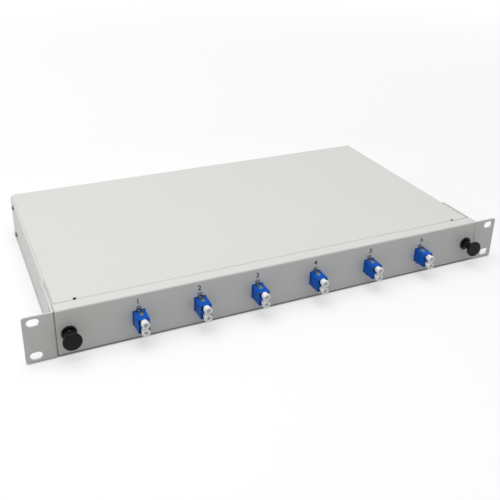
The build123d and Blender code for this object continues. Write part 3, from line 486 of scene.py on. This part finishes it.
# Slide pads, shoes, fibre rings, clips and splice comb: moulded natural nylon, which is milky and
# slightly waxy, so light goes a little way in. The pads sit in the mouths of the guide channels,
# the shoes are pushed over the runners, and the rest is fixed on the tray and the cassette.
NATURAL = ("#E4E2D8", "#DCDACF")
NATURAL_EDGE_MM = 0.25
NATURAL_REACH_MM = (2.0, 1.8, 1.4)


def let_light_in(shader, share, reach_mm):
    """Let a share of the light go into a moulding, as far as given for red, green and blue."""
    shader.inputs["Subsurface Weight"].default_value = share
    shader.inputs["Subsurface Radius"].default_value = [reach * MM for reach in reach_mm]
    shader.inputs["Subsurface Scale"].default_value = 1.0


natural_nylon, tree, shader = finish("natural_nylon", roughness=0.38)
grained(tree, shader, NATURAL, grain_mm=0.4, depth_mm=0.008, cloud_mm=15)
let_light_in(shader, share=0.15, reach_mm=NATURAL_REACH_MM)
dressed_copy("guide_pads", natural_nylon, "natural_nylon", "housing", NATURAL_EDGE_MM)
for moulding in ("runner_shoes", "fibre_guides", "fibre_clips", "splice_holder"):
    dressed_copy(moulding, natural_nylon, "natural_nylon", "drawer", NATURAL_EDGE_MM)


# Numbers on the front panel: 1 to 6, screen-printed in black ink over each adapter.
# The film of ink is a few hundredths of a millimetre thick and semi-matt.
NUMBER_HIGH_MM = 5.0
NUMBER_X_MM = (-146.0, -90.4, -34.3, 25.8, 87.0, 147.7)
NUMBER_CENTRE_Z_MM = 15.1
STROKE_SWELL = 0.014
INK_BLACK = ("#1B1B1D", "#222224")
INK_MM = 0.04

ink, tree, shader = finish("screen_ink", roughness=0.5, specular=0.3)
grained(tree, shader, INK_BLACK, grain_mm=0.2, depth_mm=0.004, cloud_mm=5)

panel_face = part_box("front_panel")[0].y
numbers = bmesh.new()
for number, across in enumerate(NUMBER_X_MM, start=1):
    text = bpy.data.curves.new("number", "FONT")
    text.body = str(number)
    text.align_x = "CENTER"
    text.offset = STROKE_SWELL
    text.extrude = INK_MM * MM / 2
    holder = bpy.data.objects.new("number", text)
    bpy.context.scene.collection.objects.link(holder)
    result = holder.evaluated_get(bpy.context.evaluated_depsgraph_get())
    shape = bpy.data.meshes.new_from_object(result)
    bpy.data.objects.remove(holder)
    tall = [v.co.y for v in shape.vertices]
    wide = [v.co.x for v in shape.vertices]
    scale = NUMBER_HIGH_MM * MM / (max(tall) - min(tall))
    centre = Vector(((max(wide) + min(wide)) / 2, (max(tall) + min(tall)) / 2, 0))
    spot = Vector((across * MM, panel_face - INK_MM * MM / 2, NUMBER_CENTRE_Z_MM * MM))
    stand = Matrix.Rotation(pi / 2, 4, "X") @ Matrix.Diagonal((scale, scale, 1, 1))
    shape.transform(Matrix.Translation(spot) @ stand @ Matrix.Translation(-centre))
    numbers.from_mesh(shape)
printed = new_piece("printed_numbers", numbers, ink)
printed.data.shade_flat()
settle(printed, "black_nylon", "drawer")


# Adapters: blue moulded PBT bodies with two stacked ports, a flange behind the panel and a recess
# for the spring clip. The moulding has small radii and a fine eroded texture. One screw above and
# one below hold each to the panel.
BLUE = ("#005AC0", "#0054B4")
ADAPTER_EDGE_MM = 0.16
ADAPTER_NUMBERS = range(1, 7)

blue_pbt, tree, shader = finish("blue_moulded_pbt", roughness=0.34, specular=0.14)
grained(tree, shader, BLUE, grain_mm=0.25, depth_mm=0.006, cloud_mm=10)
for number in ADAPTER_NUMBERS:
    dressed_copy(f"lc_adapter_{number}", blue_pbt, "blue_plastic", "drawer", ADAPTER_EDGE_MM)


# Spring clips: straps bent from bright spring steel strip 0.4 mm thick. Each goes round the back
# of an adapter, and its tongues lie in the recesses above and below.
SPRING_STEEL = ("#DADCDE", "#CCCED1")
CLIP_EDGE_MM = 0.12

spring_steel, tree, shader = finish("rolled_spring_steel", roughness=0.24, metallic=1.0)
grained(tree, shader, SPRING_STEEL, grain_mm=0.3, depth_mm=0.003, cloud_mm=6, stretch=(1, 0.1, 1))
dressed_copy("adapter_clips", spring_steel, "spring_steel", "drawer", CLIP_EDGE_MM)


# Ferrule sleeves: tubes of white zirconia inside the adapters, ground smooth, which bring two
# ferrules into line. They lie loose in the barrels of the ports.
ZIRCONIA_WHITE = ("#F1F0EC", "#E9E8E3")

zirconia, tree, shader = finish("ground_zirconia", roughness=0.12)
grained(tree, shader, ZIRCONIA_WHITE, grain_mm=0.1, depth_mm=0.001, cloud_mm=4)
dress(zirconia, "ferrule_sleeves")


# Dust caps: soft white polyethylene from a round mould. Each has a rimmed head with a blind bore,
# and a stem that plugs the port. Light goes deep into it, so even its bore looks pale.
# The outline is of (radius, y) points from the middle of the bore out and round to the stem's end.
CAP_WHITE = ("#FEFEFD", "#FBFBFA")
CAP_OUTLINE = ((0, 4.5), (1.8, 4.5), (1.8, 0), (3.6, 0), (3.6, 1.8), (3.1, 1.8), (3.1, 5.7),
               (2.2, 5.7), (2.2, 12.0), (0, 12.0))
CAP_EDGE_MM = 0.22
CAP_STEPS = 40
CAP_REACH_MM = (3.0, 3.0, 2.9)

white_polyethylene, tree, shader = finish("white_polyethylene", roughness=0.42)
grained(tree, shader, CAP_WHITE, grain_mm=0.4, depth_mm=0.006, cloud_mm=8)
let_light_in(shader, share=0.9, reach_mm=CAP_REACH_MM)
cap_bm = lathe(CAP_OUTLINE, CAP_STEPS)
cap_mesh = bpy.data.meshes.new("dust_cap")
cap_bm.to_mesh(cap_mesh)
cap_bm.free()
cap_mesh.materials.append(white_polyethylene)


def caps(name, boxes, outwards, body, node):
    """Dust caps in the places of a node's solids, with their bores towards outwards along Y."""
    places = []
    for low, high in boxes:
        face_y = low.y if outwards < 0 else high.y
        face = Vector(((low.x + high.x) / 2, face_y, (low.z + high.z) / 2))
        turn_round = Matrix.Identity(4) if outwards < 0 else Matrix.Rotation(pi, 4, "Z")
        places.append(Matrix.Translation(face) @ turn_round)
    piece = soften(set_out(name, cap_mesh, places), CAP_EDGE_MM, segments=3)
    settle(piece, "white_plastic", body, node)


caps("rear_dust_caps_made", separate_boxes("rear_dust_caps"), 1, "drawer", "rear_dust_caps")
for number in ADAPTER_NUMBERS:
    for place in ("upper", "lower"):
        node = f"dust_cap_{number}_{place}"
        caps(node + "_made", [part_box(node)], -1, f"cap_{number}_{place}", node)


# Latches: black nylon push-pull plungers in split grommets that snap into the front panel. The
# neck and the flange are polished by the mould, and the disc head has a fine matt face with a
# rounded rim. The neck's outline is of (radius, y) points behind the disc.
LATCH_BLACK = ("#0B0B0C", "#0F0F11")
FLANGE_EDGE_MM = 0.3
DISC_RADIUS_MM = 8.1
DISC_THICK_MM = 2.6
DISC_ROUND_MM = 0.8
NECK_OUTLINE = ((3.95, 10.7), (4.75, 11.5), (4.75, 12.9), (3.05, 12.9), (3.05, 21.55),
                (1.52, 24.6), (0, 24.6))
PLUNGER_EDGE_MM = 0.15
PLUNGER_STEPS = 96
RIM_SLACK_MM = 0.01
MATT_DEPTH_MM = 0.3
MATT_FACE, POLISHED = 0.5, 0.16

latch_nylon, tree, shader = finish("polished_black_nylon", roughness=0.2, specular=0.2)
grained(tree, shader, LATCH_BLACK, grain_mm=0.35, depth_mm=0.004, cloud_mm=10)
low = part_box("latch_plunger_left")[0]
where = add(tree, "ShaderNodeTexCoord")
depth = add(tree, "ShaderNodeSeparateXYZ", links={0: where.outputs["Object"]})
matt_face = add(tree, "ShaderNodeMapRange",
                {"From Min": low.y, "From Max": low.y + MATT_DEPTH_MM * MM,
                 "To Min": MATT_FACE, "To Max": POLISHED},
                {"Value": depth.outputs["Y"]})
tree.links.new(shader.inputs["Roughness"], matt_face.outputs[0])


def disc_rims(bm):
    """The two edge loops round the disc head of a plunger."""
    edge_of_disc = (DISC_RADIUS_MM - RIM_SLACK_MM) * MM
    return [e for e in bm.edges
            if all(Vector((v.co.x, 0, v.co.z)).length > edge_of_disc for v in e.verts)
            and abs(e.verts[0].co.y - e.verts[1].co.y) < RIM_SLACK_MM * MM]


for hand in ("left", "right"):
    dressed_copy(f"latch_grommet_{hand}", latch_nylon, "black_nylon", "drawer", FLANGE_EDGE_MM)
    node = f"latch_plunger_{hand}"
    disc = ((0, 0), (DISC_RADIUS_MM, 0), (DISC_RADIUS_MM, DISC_THICK_MM),
            (NECK_OUTLINE[0][0], DISC_THICK_MM))
    plunger_bm = lathe(disc + NECK_OUTLINE, PLUNGER_STEPS)
    bmesh.ops.bevel(plunger_bm, geom=disc_rims(plunger_bm), offset=DISC_ROUND_MM * MM,
                    offset_type="OFFSET", affect="EDGES", segments=4, profile=0.5, material=-1)
    low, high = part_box(node)
    place = ((low.x + high.x) / 2, low.y, (low.z + high.z) / 2)
    bmesh.ops.translate(plunger_bm, vec=place, verts=plunger_bm.verts)
    plunger = soften(new_piece(node + "_made", plunger_bm, latch_nylon), PLUNGER_EDGE_MM)
    settle(plunger, "black_nylon", f"plunger_{hand}", node)


# Splice cassette: a shallow tray moulded in light grey ABS, with two drums that the spare fibre is
# wound on. Two screws hold it on the drawer.
CASSETTE_GREY = ("#C9CBCD", "#C3C5C8")
CASSETTE_EDGE_MM = 0.35

abs_grey, tree, shader = finish("grey_moulded_abs", roughness=0.42)
grained(tree, shader, CASSETTE_GREY, grain_mm=0.3, depth_mm=0.008, cloud_mm=20)
dressed_copy("splice_cassette", abs_grey, "cassette_plastic", "drawer", CASSETTE_EDGE_MM)


# Cassette lid: clear moulded polycarbonate with a rim that drops inside the cassette's walls. It is
# glossy, with fine handling scuffs.
LID_TINT = "#EEF3F6"
SCUFFS_PER_METRE = 120.0

clear_lid, tree, shader = finish("clear_polycarbonate", roughness=0.06)
shader.inputs["Base Color"].default_value = rgb(LID_TINT)
shader.inputs["Transmission Weight"].default_value = 1.0
shader.inputs["IOR"].default_value = 1.58
where = add(tree, "ShaderNodeTexCoord")
scuffs = add(tree, "ShaderNodeTexNoise", {"Scale": SCUFFS_PER_METRE, "Detail": 4.0},
             {"Vector": where.outputs["Object"]})
vary_roughness(tree, shader, scuffs.outputs["Fac"], low=0.03, high=0.12)
dressed_copy("cassette_lid", clear_lid, "clear_plastic", "lid", CASSETTE_EDGE_MM)


# Studio light: a wide soft box overhead, a weaker one on the left, and a pale surround that is
# dimmer in front. The front panel faces away from the lamps, so it stays darkest.
# Each lamp has a place, a point it is aimed at, a width in metres and a power in watts.
LAMPS = (
    ("overhead", (-0.22, 0.07, 1.3), (-0.08, 0.04, 0), 1.3, 12.2),
    ("left", (-1.7, 0.45, 0.45), (0, 0.1, 0), 1.0, 4.8),
)
SURROUND_FRONT, SURROUND_REAR = 0.41, 0.52
SHINE_FRONT, SHINE_REAR = 0.4, 1.0

for name, place, target, size, power in LAMPS:
    lamp = bpy.data.objects.new(name, bpy.data.lights.new(name, "AREA"))
    bpy.context.scene.collection.objects.link(lamp)
    lamp.data.shape = "SQUARE"
    lamp.data.size = size
    lamp.data.energy = power
    lamp.location = place
    lamp.rotation_euler = (Vector(target) - Vector(place)).to_track_quat("-Z", "Y").to_euler()

world = bpy.data.worlds.new("surround")
bpy.context.scene.world = world
world.use_nodes = True
tree = world.node_tree
tree.nodes.clear()
ray = add(tree, "ShaderNodeLightPath")
where = add(tree, "ShaderNodeTexCoord")
way = add(tree, "ShaderNodeSeparateXYZ", links={0: where.outputs["Generated"]})
fill = add(tree, "ShaderNodeMapRange",
           {"From Min": -1.0, "To Min": SURROUND_FRONT, "To Max": SURROUND_REAR},
           {"Value": way.outputs["Y"]})
shine = add(tree, "ShaderNodeMapRange",
            {"From Min": -1.0, "To Min": SHINE_FRONT, "To Max": SHINE_REAR},
            {"Value": way.outputs["Y"]})
level = add(tree, "ShaderNodeMix",
            links={0: ray.outputs["Is Glossy Ray"], 2: fill.outputs[0], 3: shine.outputs[0]},
            data_type="FLOAT")
seen = add(tree, "ShaderNodeMath",
           links={0: ray.outputs["Is Camera Ray"], 1: ray.outputs["Is Transmission Ray"]},
           use_clamp=True)
level = add(tree, "ShaderNodeMix", {3: 1.0}, {0: seen.outputs[0], 2: level.outputs[0]},
            data_type="FLOAT")
sky = add(tree, "ShaderNodeBackground", {"Color": (1, 1, 1, 1)}, {"Strength": level.outputs[0]})
add(tree, "ShaderNodeOutputWorld", links={"Surface": sky.outputs[0]})

bpy.context.scene.view_settings.view_transform = "Standard"
